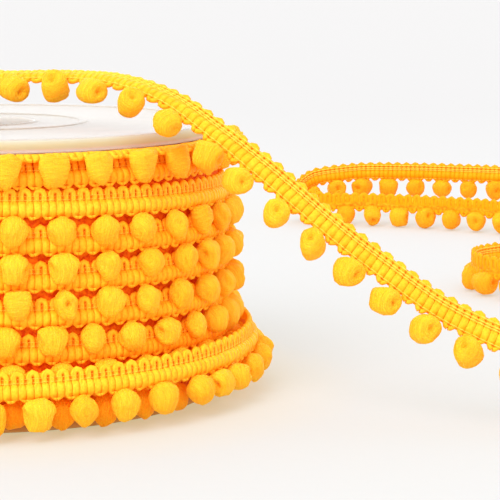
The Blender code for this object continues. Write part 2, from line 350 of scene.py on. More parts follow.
# The low loop from its middle, half a pitch from the cell's: how far back along, and height.
TIGHT_LOW_LOOP = ((0, -2.54), (0.42, -2.46), (0.74, -2.24))
SLACK_LOW_LOOP = ((0, -2.76), (0.44, -2.64), (0.74, -2.3))
ROUND_YARN = ((0.92, 0.38), (0.38, 0.92))
SQUARE_YARN = ((0.98, 0.42), (0.84, 0.94))
# Chain threads across the legs: height, radius, rise.
TIGHT_CHAINS = ((1.36, 0.13, 0.48), (0.66, 0.14, 0.44), (-2.0, 0.12, 0.42))
SLACK_CHAINS = ((1.79, 0.27, 0.52), (1.03, 0.28, 0.54), (0.53, 0.27, 0.54), (-2.08, 0.2, 0.5))
# Each way that the braid lies: its chains and how far they dip into the slits between legs, its
# low loop and that yarn's width, and how dark the painted shade in its grooves is. On the roll it
# is pulled tight. On the loose end it is slack, with its chains as ropes over the legs and its low
# loops longer.
TIGHT_LAY = (TIGHT_CHAINS, 0.3, TIGHT_LOW_LOOP, 0.36, 1.0)
SLACK_LAY = (SLACK_CHAINS, 0.04, SLACK_LOW_LOOP, 0.46, 0.35)
CHAIN_STITCHES = 4
CHAIN_SIDES = 4
# A chain's thickness over a leg and the loss of it over a slit, how dark its painted shade is
# between its stitches and on them, its sway, and how much its rise varies.
CHAIN_THICK = 1.2
CHAIN_THIN = 0.5
STITCH_SHADES = (0.6, 0.1)
CHAIN_SWAY = 0.03
CHAIN_STRAY = 0.02
# How much a loop varies along, in height, in rise and in thickness.
LOOP_STRAYS = (0.025, 0.045, 0.025, 0.035)
# A section is in a groove below the second height and wholly so below the first, and is painted
# in shade there. Where bars press together, between these shares of that painted shade are
# filled.
GROOVE_HEIGHTS = (0.3, 0.9)
BARS_FILL = (0.4, 0.9)
CELL_VARIANTS = 4


def yarn_ring(squareness):
    """An eight-sided section of gimp yarn for each squareness, from round to a flattened bar."""
    square = np.reshape(squareness, (-1, 1, 1))
    corner = np.array(ROUND_YARN) + (np.array(SQUARE_YARN) - ROUND_YARN) * square
    (a, b), (c, d) = corner[:, 0].T, corner[:, 1].T
    across = np.stack([a, c, -c, -a, -a, -c, c, a], -1)
    above = np.stack([b, d, d, b, -b, -d, -d, -b], -1)
    return across, above


def groove(ring):
    """How deep each point of a section is in a groove: 0 over and under the yarn, 1 beside it."""
    return 1 - ease(np.abs(ring[1]), *GROOVE_HEIGHTS)


def loop_cell(seed, lay):
    """One loop pitch of braid about its middle: x along, y towards the scallop, z out."""
    chains, dip, low_loop, low_width, shade = lay
    rng = np.random.default_rng(seed)
    low = [(LOOP_PITCH / 2 - back, y, low_width, low_width, 0.0, 0.0) for back, y in low_loop]
    right = list(LEG) + low[::-1]
    left = [(-x, *row) for x, *row in reversed(right)]
    reach, turns = LEG[0][0], np.radians(ARCH_ANGLES)
    arch = zip(reach * np.cos(turns), SCALLOP_CENTRE + reach * np.sin(turns))
    rows = np.array(left + [(x, y, *SCALLOP_YARN) for x, y in arch] + right)
    scallop = slice(len(left), len(left) + len(turns))
    free = np.ones(len(rows))
    free[[0, -1]] = 0
    *strays, swell = [free * rng.normal(0, spread, len(rows)) for spread in LOOP_STRAYS]
    points = rows[:, [0, 1, 4]] + np.stack(strays, -1)
    widths, depths = rows[:, 2] * (1 + swell), rows[:, 3] * (1 + swell)
    square = rows[:, 5]
    ring = yarn_ring(square)
    # Painted shade in the grooves beside the legs, less where bars press together, only on the
    # inner side of the scallop and none on the low loop.
    deep = groove(ring) * (1 - rng.uniform(*BARS_FILL, len(rows)) * square)[:, None]
    deep[scallop] *= ring[0][scallop] > 0
    deep[rows[:, 1] < LEG[-1][1]] = 0
    shapes = [strand(points, widths, depths, ring, 0.0, shade * deep)]

    count = CHAIN_STITCHES * 2 + 1
    between = np.arange(count) % 2 == 1
    along = np.linspace(-LOOP_PITCH / 2, LOOP_PITCH / 2, count)
    slit = 0.5 + 0.5 * np.cos(4 * np.pi * along / LOOP_PITCH)
    sway = np.where(between, CHAIN_SWAY, -CHAIN_SWAY)
    turn = np.arange(CHAIN_SIDES) * 2 * np.pi / CHAIN_SIDES
    ring = np.broadcast_to(np.stack([np.cos(turn), np.sin(turn)])[:, None], (2, count, CHAIN_SIDES))
    # Painted shade on the chain threads' sides, darker between stitches than on them.
    deep = shade * groove(ring) * np.where(between, *STITCH_SHADES)[:, None]
    for height, radius, rise in chains:
        size = radius * (CHAIN_THICK - CHAIN_THIN * slit)
        over = rise - dip * slit + rng.normal(0, CHAIN_STRAY, count)
        points = np.stack([along, height + sway, over], -1)
        shapes.append(strand(points, size, size, ring, 1.0, deep))
    return gathered(shapes)


# ---- bobbles

# Half of a bobble's outline from the middle of its end to its waist: how far out along the wrapped
# axis, and away from it.
PLAIN_OUTLINE = (
    (2.22, 0.0), (2.26, 0.5), (2.26, 1.0), (2.1, 1.5), (1.74, 1.98), (1.18, 2.36), (0.4, 2.6),
)
DIMPLE_OUTLINE = (
    (0.95, 0.0), (1.3, 0.28), (1.95, 0.62), (2.38, 1.1), (2.36, 1.65), (1.85, 2.2), (0.7, 2.58),
)
CURL_OUTLINE = (
    (1.45, 0.0), (1.62, 0.28), (2.05, 0.62), (2.34, 1.1), (2.28, 1.65), (1.85, 2.2),
    (0.7, 2.58),
)
# A tooth hangs by its wide end: down from its middle, and its reach from its axis.
TOOTH_OUTLINE = (
    (-2.9, 0.0), (-2.85, 1.5), (-2.55, 2.4), (-1.7, 2.62), (-0.6, 2.58), (0.5, 2.38),
    (1.5, 2.0), (2.3, 1.5), (2.85, 0.85), (3.05, 0.0),
)
BOBBLE_SIDES = 18
PLAIN_BOBBLES, PLAIN_SEED = 5, 40
DIMPLED_BOBBLES, DIMPLED_SEED = 2, 60
TEETH, TOOTH_SEED = 4, 80
# Soft lumps: their spacing, height and count. The roll presses its bobbles and teeth out of shape.
PRESSED_LUMPS = ((4.0, 0.15, 5), (2.3, 0.05, 6), (1.2, 0.035, 8))
ROUND_LUMPS = ((4.0, 0.06, 5), (2.3, 0.03, 6), (1.2, 0.02, 8))
LUMP_PHASES = (0, 6.3)
PRESSED_DEPTH = 0.8
ROUND_DEPTH = 0.96
# The wrap is a spiral: its last turn lies this much further out, times a share of that.
SPIRAL = 0.07
SPIRAL_SHARES = (0.2, 1.2)
BOBBLE_STRAY = 0.045
TOOTH_STRAY = 0.06
END_SHARES = (0.8, 1.1)
# A bobble is wider towards its root, where it is then drawn in between two heights.
TAPERS = (0.02, 0.12)
ROOT_DRAWN_IN = 0.14
ROOT_HEIGHTS = (1.2, 2.9)
HANGING_STRETCH = 1.04


def lumpy(vertices, rng, lumps):
    """Points moved by soft random lumps."""
    moved = vertices.copy()
    for spacing, height, count in lumps:
        for _ in range(count):
            wave = vertices @ (unit(rng.normal(size=3)) * 2 * np.pi / spacing)
            push = unit(rng.normal(size=3)) * height
            moved += push * np.sin(wave + rng.uniform(*LUMP_PHASES))[:, None]
    return moved


def wrapped(outline, rng, lumps):
    """A lumpy bundle of filament wrapped about x along an outline from end to end."""
    share = np.arange(BOBBLE_SIDES) / BOBBLE_SIDES
    turn = share * 2 * np.pi
    spiral = 1 + SPIRAL * (share - 0.5) * rng.uniform(*SPIRAL_SHARES)
    vertices, uvs = [], []
    for (x, r), v in zip(outline[1:-1], np.linspace(0, 1, len(outline))[1:-1]):
        radius = r * spiral
        middle = np.full(BOBBLE_SIDES, x)
        vertices.append(np.stack([middle, radius * np.cos(turn), radius * np.sin(turn)], -1))
        uvs.append(np.stack([share, np.full(BOBBLE_SIDES, v)], -1))
    vertices = np.concatenate([*vertices, [[outline[0, 0], 0, 0], [outline[-1, 0], 0, 0]]])
    uvs = np.concatenate([*uvs, [[0.5, 0.0], [0.5, 1.0]]])
    rings = len(outline) - 2
    faces = grid_faces(rings, BOBBLE_SIDES)
    first, last, top = len(vertices) - 2, len(vertices) - 1, (rings - 1) * BOBBLE_SIDES
    for j in range(BOBBLE_SIDES):
        k = (j + 1) % BOBBLE_SIDES
        faces += [(first, j, k), (last, top + k, top + j)]
    return lumpy(vertices, rng, lumps), [face[::-1] for face in faces], uvs


def bobble_shape(half, seed, lumps, depth):
    """A wrapped bobble about x with its root at +y, from half of its outline."""
    rng = np.random.default_rng(seed)
    half = np.array(half)
    outline = np.vstack([half * [-1, 1], half[::-1]])
    outline[1:-1] += rng.normal(0, BOBBLE_STRAY, (len(outline) - 2, 2))
    outline[[0, -1], 0] *= rng.uniform(*END_SHARES, 2)
    vertices, faces, uvs = wrapped(outline, rng, lumps)
    x, y, z = vertices.T
    taper = 1 + rng.uniform(*TAPERS) * y - ROOT_DRAWN_IN * ease(y, *ROOT_HEIGHTS)
    return np.stack([x * taper, y * HANGING_STRETCH, z * depth * taper], -1), faces, uvs, {}


def tooth_shape(seed):
    """A bobble pulled down into a tooth, its wide end at +y, with its filaments lying level."""
    rng = np.random.default_rng(seed)
    outline = np.array(TOOTH_OUTLINE)
    outline[1:-1] += rng.normal(0, TOOTH_STRAY, (len(outline) - 2, 2))
    vertices, faces, uvs = wrapped(outline, rng, PRESSED_LUMPS)
    x, y, z = vertices.T
    return np.stack([y, -x, z * PRESSED_DEPTH], -1), faces, uvs, {}


def bobble_shapes(dimpled, lumps, depth):
    """Some plain bobbles, then some dimpled ones."""
    kinds = [(PLAIN_OUTLINE, PLAIN_SEED + i) for i in range(PLAIN_BOBBLES)]
    kinds += [(dimpled, DIMPLED_SEED + i) for i in range(DIMPLED_BOBBLES)]
    return [bobble_shape(half, seed, lumps, depth) for half, seed in kinds]


# ---- Geometry Nodes


def feed(tree, node, inputs):
    """Gives each of a node's inputs a value, or a link from another node's output."""
    for socket, value in inputs.items():
        if isinstance(value, bpy.types.NodeSocket):
            tree.links.new(value, node.inputs[socket])
        else:
            node.inputs[socket].default_value = value


def add(tree, kind, inputs, **settings):
    """The outputs of a new node with its settings and inputs."""
    node = tree.nodes.new(kind)
    for name, value in settings.items():
        setattr(node, name, value)
    feed(tree, node, inputs)
    return node.outputs


def scatter_tree():
    """Sets shapes of a collection on points, each turned, stretched and chosen by its values."""
    tree = bpy.data.node_groups.new("set_shapes_along_trim", "GeometryNodeTree")
    for name, way, kind in (
        ("Geometry", "INPUT", "Geometry"),
        ("Shapes", "INPUT", "Collection"),
        ("Size", "INPUT", "Float"),
        ("Finish", "INPUT", "Material"),
        ("Geometry", "OUTPUT", "Geometry"),
    ):
        tree.interface.new_socket(name, in_out=way, socket_type="NodeSocket" + kind)
    start = add(tree, "NodeGroupInput", {})
    turn, stretch, shape = (
        add(tree, "GeometryNodeInputNamedAttribute", {"Name": name}, data_type=kind)["Attribute"]
        for name, kind in (("turn", "FLOAT_VECTOR"), ("stretch", "FLOAT_VECTOR"), ("shape", "INT"))
    )
    shapes = add(
        tree,
        "GeometryNodeCollectionInfo",
        {"Collection": start["Shapes"], "Separate Children": True, "Reset Children": True},
    )
    turned = add(tree, "FunctionNodeEulerToRotation", {"Euler": turn})
    sizes = {"Vector": stretch, "Scale": start["Size"]}
    sized = add(tree, "ShaderNodeVectorMath", sizes, operation="SCALE")
    points = add(tree, "GeometryNodeMeshToPoints", {"Mesh": start["Geometry"]})
    placed = add(
        tree,
        "GeometryNodeInstanceOnPoints",
        {
            "Points": points["Points"],
            "Instance": shapes["Instances"],
            "Pick Instance": True,
            "Instance Index": shape,
            "Rotation": turned["Rotation"],
            "Scale": sized["Vector"],
        },
    )
    real = add(tree, "GeometryNodeRealizeInstances", {"Geometry": placed["Instances"]})
    finish = {"Geometry": real["Geometry"], "Material": start["Finish"]}
    finished = add(tree, "GeometryNodeSetMaterial", finish)
    add(tree, "NodeGroupOutput", {"Geometry": finished["Geometry"]})
    return tree


def shape_collection(name, shapes):
    """A collection that is in no scene, of one object for each shape, in order."""
    collection = bpy.data.collections.new(name)
    for i, (vertices, faces, uvs, values) in enumerate(shapes):
        mesh = bpy.data.meshes.new(f"{name}_{i:02d}")
        mesh.from_pydata((vertices * MM).tolist(), [], faces)
        corners = np.zeros(len(mesh.loops), int)
        mesh.loops.foreach_get("vertex_index", corners)
        layer = mesh.uv_layers.new(name="yarn")
        layer.data.foreach_set("uv", np.asarray(uvs, np.float32)[corners].ravel())
        for key, data in values.items():
            attribute = mesh.attributes.new(key, "FLOAT", "POINT")
            attribute.data.foreach_set("value", np.asarray(data, np.float32))
        mesh.shade_smooth()
        collection.objects.link(bpy.data.objects.new(mesh.name, mesh))
    return collection


def set_along(name, shapes, finish, centres, x_axes, y_axes, stretch, shape, tint):
    """A plain mesh of shapes at centres, their x and y axes turned to the given directions."""
    mesh = bpy.data.meshes.new(name)
    mesh.from_pydata(((centres + REEL_AXIS) * MM).tolist(), [], [])
    turns = []
    for axes in zip(x_axes, y_axes, np.cross(x_axes, y_axes)):
        turns.append(Matrix(axes).transposed().to_euler("XYZ"))
    for key, kind, field, data in (
        ("turn", "FLOAT_VECTOR", "vector", turns),
        ("stretch", "FLOAT_VECTOR", "vector", stretch),
        ("shape", "INT", "value", shape),
        ("tint", "FLOAT", "value", tint),
    ):
        data = np.asarray(data, np.int32 if kind == "INT" else np.float32)
        mesh.attributes.new(key, kind, "POINT").data.foreach_set(field, data.ravel())
    obj = put_in_scene(name, mesh)
    modifier = obj.modifiers.new("set shapes", "NODES")
    modifier.node_group = TREE
    for item in TREE.interface.items_tree:
        if item.in_out == "INPUT" and item.name != "Geometry":
            modifier[item.identifier] = {"Shapes": shapes, "Size": 1.0, "Finish": finish}[item.name]
    graph = bpy.context.evaluated_depsgraph_get()
    plain = bpy.data.meshes.new_from_object(obj.evaluated_get(graph))
    obj.modifiers.clear()
    obj.data = plain
    bpy.data.meshes.remove(mesh)
    plain.name = name
    for key in ("turn", "stretch", "shape"):
        if key in plain.attributes:
            plain.attributes.remove(plain.attributes[key])
    return obj


# ---- finishes

# Sockets of a colour mix, which shares their names with the node's other kinds.
FIRST, SECOND, MIXED = 6, 7, 2

# Yarn in half shade, between one lit strand and the next.
HALF_SHADE = "#FF8A04"

# How strongly the bore's wall glows with painted light that stands for the floor's light.
BORE_GLEAM = 0.08

# The paper's own light, painted warmer and brighter near the front: its linear colours near and
# far, and how far forward and back they lie. Then the yarn's warm light painted on it, and how
# far that lies from the reel's axis.
NEAR_LIGHT = (0.415, 0.419, 0.317, 1)
FAR_LIGHT = (0.357, 0.346, 0.248, 1)
PAPER_DEPTHS = (-250 * MM, 600 * MM)
WARM_LIGHT = (0.47, 0.425, 0.245, 1)
WARM_RADII = (46 * MM, 75 * MM)


def linear(hex_color):
    """A linear RGBA colour from an sRGB hex value."""
    channels = [int(hex_color[i : i + 2], 16) / 255 for i in (1, 3, 5)]
    return (*[c / 12.92 if c <= 0.04045 else ((c + 0.055) / 1.055) ** 2.4 for c in channels], 1)


def layered(tree, color, *layers):
    """A colour with others laid over it in turn, each by its share."""
    for share, over in layers:
        color, over = (linear(c) if isinstance(c, str) else c for c in (color, over))
        inputs = {0: share, FIRST: color, SECOND: over}
        color = add(tree, "ShaderNodeMix", inputs, data_type="RGBA")[MIXED]
    return color


def grain(tree, per_mm, detail):
    """An even pattern on the object's own coordinates, with this many marks to a millimetre."""
    place = add(tree, "ShaderNodeTexCoord", {})
    inputs = {"Vector": place["Object"], "Scale": per_mm / MM, "Detail": detail}
    return add(tree, "ShaderNodeTexNoise", inputs)["Fac"]


def strands(tree, along, across, detail):
    """Lines that follow the yarn, by how often they change along it and across it."""
    place = add(tree, "ShaderNodeUVMap", {}, uv_map="yarn")
    drawn = add(tree, "ShaderNodeMapping", {"Vector": place["UV"], "Scale": (along, across, 1)})
    inputs = {"Vector": drawn["Vector"], "Scale": 1.0, "Detail": detail}
    return add(tree, "ShaderNodeTexNoise", inputs)["Fac"]


def about_reel(tree):
    """Coordinates about the reel's axis."""
    place = add(tree, "ShaderNodeTexCoord", {})
    inputs = {"Vector": place["Object"], "Location": (-REEL_AXIS * MM).tolist()}
    return add(tree, "ShaderNodeMapping", inputs)["Vector"]


def shares(tree, *rows):
    """For each value, a share that goes from start to end between two levels of it."""
    made = []
    for value, low, high, start, end in rows:
        ends = {"From Min": low, "From Max": high, "To Min": start, "To Max": end}
        made.append(add(tree, "ShaderNodeMapRange", {"Value": value, **ends})["Result"])
    return made


def finish(name, pattern):
    """A material from its name and from what its pattern gives each of the shader's sockets."""
    material = bpy.data.materials.new(name)
    material.use_nodes = True
    tree = material.node_tree
    feed(tree, tree.nodes["Principled BSDF"], pattern(tree))
    return material


def filament_yarn(tree):
    """Bundled rayon-like filament, wrapped into bobbles.

    It gives a soft satin with faint lines 0.2 mm apart that follow the wrap, and a haze of fibre
    ends. Both are drawn coarser than real filament, which is too fine to show.
    """
    wrap, haze = strands(tree, 5, 44, 3), grain(tree, 3.4, 3)
    tint = add(tree, "ShaderNodeAttribute", {}, attribute_name="tint")["Fac"]
    (between,) = shares(tree, (wrap, 0.36, 0.6, 0.6, 0))
    (shade,) = shares(tree, (haze, 0.36, 0.56, 0.28, between))
    relief = add(tree, "ShaderNodeMath", {0: wrap, 1: haze}, operation="ADD")["Value"]
    bump = add(tree, "ShaderNodeBump", {"Height": relief, "Strength": 1.0, "Distance": 0.00025})
    return {
        # The tint and shade value deepens the gold towards orange: random tone, and painted shade
        # by place.
        "Base Color": layered(tree, "#FFD032", (tint, "#FF9A00"), (shade, HALF_SHADE)),
        "Normal": bump["Normal"],
        "Roughness": 0.6,
        "Specular IOR Level": 0.12,
        # Light goes on through the yarn and warms its shadows to orange.
        "Subsurface Weight": 0.4,
        "Subsurface Radius": (1.0, 0.4, 0.06),
        "Subsurface Scale": 0.0018,
        # A painted orange glow that lifts the yarn's shadows.
        "Emission Color": (1.0, 0.14, 0.0, 1),
        "Emission Strength": 0.11,
    }


def gimp_yarn(tree):
    """Soft gimp yarn laid in loops, under finer chain threads.

    It gives satin bars with lines 0.3 mm apart along them, and blotches of 0.5 mm where fibres
    part. The threads are paler and smoother, and the grooves get a deeper orange as painted shade.
    """
    lines, parted = strands(tree, 0.5, 14, 2), grain(tree, 2.2, 3)
    thread, tint, deep = (
        add(tree, "ShaderNodeAttribute", {}, attribute_name=name)["Fac"]
        for name in ("thread", "tint", "groove")
    )
    blotch, pale, lined, strength = shares(
        tree,
        (parted, 0.38, 0.58, 0.3, 0),
        (thread, 0, 1, 0, 0.6),
        (lines, 0.3, 0.55, 0, 1),
        (thread, 0, 1, 0.6, 0.05),
    )
    # The tint and shade value deepens the gold towards orange: random tone, and painted shade by
    # place.
    lit = layered(tree, "#FFCC2E", (tint, "#FF9F08"), (blotch, HALF_SHADE))
    threaded = layered(tree, lit, (pale, "#FFDE58"))
    bump = {"Height": lines, "Strength": strength, "Distance": 0.0002}
    return {
        # The groove value paints deep orange shade into the grooves.
        "Base Color": layered(tree, lit, (0.5, "#FF7E02"), (lined, threaded), (deep, "#D65200")),
        "Normal": add(tree, "ShaderNodeBump", bump)["Normal"],
        "Roughness": 0.5,
        "Specular IOR Level": 0.1,
        # A painted orange glow that lifts the yarn's shadows.
        "Emission Color": (1.0, 0.18, 0.0, 1),
        "Emission Strength": 0.15,
    }


def ground_yarn(tree, deep, light, gleam):
    """Yarn seen between and behind the loops, with a fine woven grain of about 1 mm.

    Its deep orange is painted shade, for where little light comes. The gleam is a painted glow
    that stands for what the yarn round a crevice passes on into it.
    """
    weave = grain(tree, 1.1, 2)
    (spread,) = shares(tree, (weave, 0.35, 0.65, 0, 1))
    bump = {"Height": weave, "Strength": 0.8, "Distance": 0.0004}
    return {
        "Base Color": layered(tree, deep, (spread, light)),
        "Normal": add(tree, "ShaderNodeBump", bump)["Normal"],
        "Roughness": 0.85,
        "Specular IOR Level": 0.2,
        "Emission Color": linear(deep),
        "Emission Strength": gleam,
    }


# The top flange's rim from its foot up, in shares of its height, all painted reflection: a pale
# edge, a thin pink line, and then the yarn's warm light painted in it.
RIM_BANDS = (
    (0.02, "#DAD2D8"),
    (0.18, "#DCD6D8"),
    (0.27, "#DCC2B4"),
    (0.36, "#D0C19E"),
    (0.62, "#D2C59E"),
    (0.9, "#D2CDB4"),
    (0.98, "#C8BEAE"),
)


def reel_plastic(tree):
    """Moulded polystyrene, clear but a little milky.

    It gives a smooth, pale gloss with faint flow marks some 17 mm apart, a rim painted with the
    yarn's light, a foot painted with the shaded yarn behind it, and a bore painted paler with a
    glow that stands for the floor's light.
    """
    flow = grain(tree, 0.06, 3)
    parts = add(tree, "ShaderNodeSeparateXYZ", {"Vector": about_reel(tree)})
    level = add(tree, "ShaderNodeCombineXYZ", {"X": parts["X"], "Y": parts["Y"]})["Vector"]
    distance = add(tree, "ShaderNodeVectorMath", {"Vector": level}, operation="LENGTH")["Value"]
    rim, past_bore, gleam, up, foot, rough = shares(
        tree,
        (distance, (FLANGE_RADIUS - 0.4) * MM, (FLANGE_RADIUS - 0.1) * MM, 0, 1),
        (distance, (BORE_RADIUS - 0.1) * MM, (BORE_RADIUS + 0.4) * MM, 0, 1),
        (distance, BORE_RADIUS * MM, (BORE_RADIUS + 0.3) * MM, BORE_GLEAM, 0),
        (parts["Z"], (REEL_HEIGHT - FLANGE_THICKNESS) * MM, REEL_HEIGHT * MM, 0, 1),
        (parts["Z"], FLANGE_THICKNESS * MM, (FLANGE_THICKNESS + 1) * MM, 1, 0),
        (flow, 0, 1, 0.08, 0.2),
    )
    bands = add(tree, "ShaderNodeValToRGB", {"Fac": up})["Color"]
    ramp = bands.node.color_ramp.elements
    for share, shade in RIM_BANDS:
        ramp.new(share).color = linear(shade)
    ramp.remove(ramp[0])
    ramp.remove(ramp[-1])
    flat = layered(tree, "#B9AE9F", (flow, "#C0B5A6"))
    # Painted shade of the yarn seen through the flange's foot.
    edge = layered(tree, bands, (foot, "#CC8448"))
    return {
        # Inside the bore the plastic is painted paler, as painted light from the floor.
        "Base Color": layered(tree, "#F6F2EC", (past_bore, flat), (rim, edge)),
        "Roughness": rough,
        "IOR": 1.55,
        "Specular IOR Level": 0.06,
        "Transmission Weight": 0.15,
        "Subsurface Weight": 0.5,
        "Subsurface Radius": (1.0, 0.9, 0.8),
        "Subsurface Scale": 0.012,
        "Emission Color": linear("#FCE8D2"),
        "Emission Strength": gleam,
    }


def floor_paper(tree):
    """Matt white background paper, with a faint tooth of 2.5 mm.

    It gives a pale floor that is lit from behind, with painted light that is a little cooler and
    dimmer far away, and the yarn's warm light painted on it round the reel's foot.
    """
    tooth = grain(tree, 0.4, 2)
    place = add(tree, "ShaderNodeTexCoord", {})["Object"]
    back = add(tree, "ShaderNodeSeparateXYZ", {"Vector": place})["Y"]
    centred = {"Vector": about_reel(tree)}
    distance = add(tree, "ShaderNodeVectorMath", centred, operation="LENGTH")["Value"]
    far, warm = shares(tree, (back, *PAPER_DEPTHS, 0, 1), (distance, *WARM_RADII, 1, 0))
    return {
        "Base Color": layered(tree, "#9B9BA7", (tooth, "#9D9DA9")),
        "Roughness": 0.9,
        "Specular IOR Level": 0.2,
        "Emission Color": layered(tree, NEAR_LIGHT, (far, FAR_LIGHT), (warm, WARM_LIGHT)),
        "Emission Strength": 1.0,
    }


FILAMENT = finish("wrapped_filament_yarn", filament_yarn)
GIMP = finish("looped_gimp_yarn", gimp_yarn)
# The braid's ground and the wound body are deep orange as painted shade; the wound body also has a
# painted glow.
GROUND = finish("braid_ground_yarn", lambda tree: ground_yarn(tree, "#FF8404", "#FFB018", 0.0))
WOUND = finish("shaded_wound_yarn", lambda tree: ground_yarn(tree, "#DC4400", "#FF8408", 0.08))
PLASTIC = finish("milky_polystyrene", reel_plastic)
PAPER = finish("white_background_paper", floor_paper)

TREE = scatter_tree()
TIGHT_CELLS, SLACK_CELLS = (
    shape_collection(name, [loop_cell(seed, lay) for seed in range(CELL_VARIANTS)])
    for name, lay in (("tight_cell", TIGHT_LAY), ("slack_cell", SLACK_LAY))
)
PRESSED_BOBBLES = shape_collection(
    "pressed_bobble",
    bobble_shapes(DIMPLE_OUTLINE, PRESSED_LUMPS, PRESSED_DEPTH)
    + [tooth_shape(TOOTH_SEED + i) for i in range(TEETH)],
)
ROUND_BOBBLES = shape_collection(
    "round_bobble", bobble_shapes(CURL_OUTLINE, ROUND_LUMPS, ROUND_DEPTH)
)


# ---- trim

# The braid's ground, across it from its middle, and out from it.
GROUND_TOP = -2.3
GROUND_FOOT = 2.35
GROUND_BACK = -0.16
GROUND_FACE = 0.06
GROUND_SWELL = 0.1

# How far the root is under the braid's middle, and how far bobbles hang from it and stand out.
BOBBLE_ROOT = 2.6
BOBBLE_DROP = 2.5
TOOTH_DROP = 2.3
FLAT_DROP = 1.9
LOOSE_DROP = 2.55
BOBBLE_STAND = 0.95
FLAT_STAND = 0.35
TOOTH_SIZE = 0.94
BOBBLE_FOOT = 2.8
# Some bobbles turn far about the way they hang. The others turn, nod and lean a little, in radians.
WILD_SHARE = 0.2
WILD_TURN = 1.6
TOOTH_TURN = 0.12
NOD = 0.1
BOBBLE_LEAN = 0.16
TOOTH_LEAN = 0.05
SIZE_SPREAD = 0.04
TINT_SPREAD = 0.12
LOOP_RISES = (0.94, 1.06)
# The wound turns' bobbles hang out by this share, and lie flat, as teeth, between two leans.
HANG_OUT = 0.15
FLAT_LEANS = (20, 80)
FLAT_SHARE = 0.8
# Levels along the trim: at first, what is added later, and between which two places. The shades
# are painted shade: the yarn goes from golden to deep orange under other rows' bobbles, on the
# body turn between the teeth, on the lowest inner bobbles behind the outer turn and where the
# loose end lies far behind.
FAR_LENGTHS = (400, 500)
INNER_LOOP_SHADE = (0.04, 0.2, 150, 330)
INNER_BOBBLE_SHADE = (0.06, 0.6, 1480, 1560)
OUTER_LOOP_SHADE = (0.12,)
BODY_LOOP_SHADE = (0.4,)
LOOSE_LOOP_SHADE = (0.35, 0.65, *FAR_LENGTHS)
LOOSE_BOBBLE_SHADE = (0.14, 0.46, *FAR_LENGTHS)
LOOSE_BOBBLE_SIZE = (0.97, 0.14, *FAR_LENGTHS)
# The loose end's bobbles hang along its braid, and this much straight down.
LOOSE_HANG = np.array([0, 0, -0.25])
# How far bobbles turn, what share of them has a dimple, and how wide they are.
PRESSED_HABIT = (0.35, 0.3, 1.0)
HANGING_HABIT = (1.0, 0.6, 1.08)


def level(at, first, more=0, start=0, end=1):
    """A level that is the same all along the trim, or that changes between two places."""
    return first + more * ease(at, start, end)


def ground_strip(name, place, start, end, count):
    """The braid's flat ground under its loops: a closed narrow strip."""
    centre, _, down, out = braid_frames(place, np.linspace(start, end, count + 1))
    corners = (
        (0, GROUND_BACK),
        (GROUND_FOOT, GROUND_BACK),
        (GROUND_FOOT, GROUND_FACE),
        (0, GROUND_FACE + GROUND_SWELL),
        (GROUND_TOP, GROUND_FACE),
        (GROUND_TOP, GROUND_BACK),
    )
    sections = np.stack([centre + down * v + out * w for v, w in corners], axis=1)
    faces = tube_faces(count + 1, len(corners))
    return closed_piece(name, sections.reshape(-1, 3), faces, GROUND)


def loops(name, place, start, end, count, cells, shade, seed):
    """The braid's loops and chain threads, one cell to a loop. The shade is a level of painted
    shade along it.
    """
    rng = np.random.default_rng(seed)
    at = middles(start, end, count)
    centre, along, down, _ = braid_frames(place, at)
    half = (end - start) / count / 2
    length = np.linalg.norm(place(at + half)[0] - place(at - half)[0], axis=1) / LOOP_PITCH
    stretch = np.stack([length, np.ones(count), rng.uniform(*LOOP_RISES, count)], -1)
    shape = rng.integers(0, CELL_VARIANTS, count)
    # Painted shade level by place, with random tone on top.
    tint = np.clip(level(at, *shade) + rng.uniform(-TINT_SPREAD, TINT_SPREAD, count), 0, 1)
    return set_along(name, cells, GIMP, centre, along, -down, stretch, shape, tint)


def turn_about(vectors, axes, angles):
    """Vectors turned about unit axes by angles in radians."""
    cosine, sine = np.cos(angles)[:, None], np.sin(angles)[:, None]
    dot = np.sum(vectors * axes, axis=1, keepdims=True)
    return vectors * cosine + np.cross(axes, vectors) * sine + axes * dot * (1 - cosine)


def bobbles(name, shapes, hung, size, shade, habit, seed, teeth=False):
    """Bobbles hung by chance a little out of line, some of them as teeth.

    Hung is their roots, the braid's direction there, the way they hang, how far, and how far out.
    """
    roots, along, hang, drop, stand = hung
    turning, dimples, wide = habit
    rng = np.random.default_rng(seed)
    count = len(roots)
    up = -unit(hang)
    along = unit(along - up * np.sum(along * up, axis=1, keepdims=True))
    centre = roots - up * drop[:, None] + np.cross(along, up) * stand[:, None]
    wild = rng.random(count) < WILD_SHARE
    wide_turns = rng.uniform(-WILD_TURN, WILD_TURN, count)
    angles = np.where(wild, wide_turns, rng.normal(0, turning, count))
    teeth = np.broadcast_to(teeth, count)
    angles = np.where(teeth, rng.normal(0, TOOTH_TURN, count), angles)
    x_axes = turn_about(along, up, angles)
    y_axes = turn_about(up, x_axes, rng.normal(0, NOD, count))
    leaning = rng.normal(0, np.where(teeth, TOOTH_LEAN, BOBBLE_LEAN))
    z_axes = np.cross(x_axes, y_axes)
    x_axes, y_axes = (turn_about(axes, z_axes, leaning) for axes in (x_axes, y_axes))
    spread = np.stack([rng.normal(1, SIZE_SPREAD, count) for _ in range(3)], -1)
    stretch = size[:, None] * spread
    stretch[:, 0] *= np.where(teeth, 1, wide)
    dimpled = rng.random(count) < dimples
    dimple = PLAIN_BOBBLES + rng.integers(0, DIMPLED_BOBBLES, count)
    shape = np.where(dimpled, dimple, rng.integers(0, PLAIN_BOBBLES, count))
    tooth = PLAIN_BOBBLES + DIMPLED_BOBBLES + rng.integers(0, TEETH, count)
    shape = np.where(teeth, tooth, shape)
    # None goes down through the surface.
    centre[:, 2] = np.maximum(centre[:, 2], stretch[:, 1] * BOBBLE_FOOT)
    # Painted shade level, with random tone on top.
    tint = np.clip(shade + rng.uniform(-TINT_SPREAD, TINT_SPREAD, count), 0, 1)
    return set_along(name, shapes, FILAMENT, centre, x_axes, y_axes, stretch, shape, tint)


